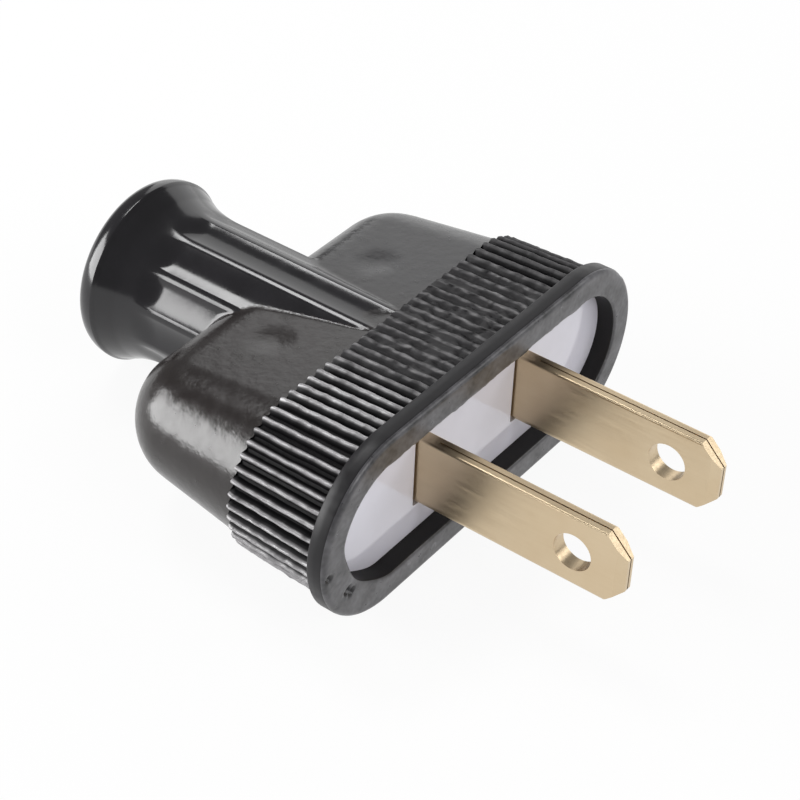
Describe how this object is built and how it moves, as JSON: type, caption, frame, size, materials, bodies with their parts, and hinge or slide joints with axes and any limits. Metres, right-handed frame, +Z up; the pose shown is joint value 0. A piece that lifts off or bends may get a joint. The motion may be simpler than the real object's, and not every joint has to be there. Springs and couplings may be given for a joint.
{
  "type": "flat electric plug",
  "caption": "Flat rewirable plug: ribbed soft shell with a lobed body and fluted cord sleeve, recessed hard insert, and parallel folded brass blades.",
  "frame": {"origin": "middle of the shell's front face, on the cord sleeve's axis", "axes": "+X the way the plug is pushed in, along both blades; +Y across, from the right blade to the left; +Z up through the thickness, with the plug lying flat"},
  "size_m": [0.0518, 0.0398, 0.0156],
  "materials": {
    "shell_rubber": "black moulded rubber, satin on the lobes and glossier on the sleeve",
    "insert_plastic": "glossy cool white moulded plastic",
    "blade_brass": "pale rolled brass sheet, softly brushed along its length",
    "screw_brass": "turned brass, bright"
  },
  "bodies": {
    "root": {"shell": "shell_rubber", "insert": "insert_plastic", "blade_left": "blade_brass", "blade_right": "blade_brass", "terminal_screw_left": "screw_brass", "terminal_screw_right": "screw_brass"}
  },
  "joints": []
}
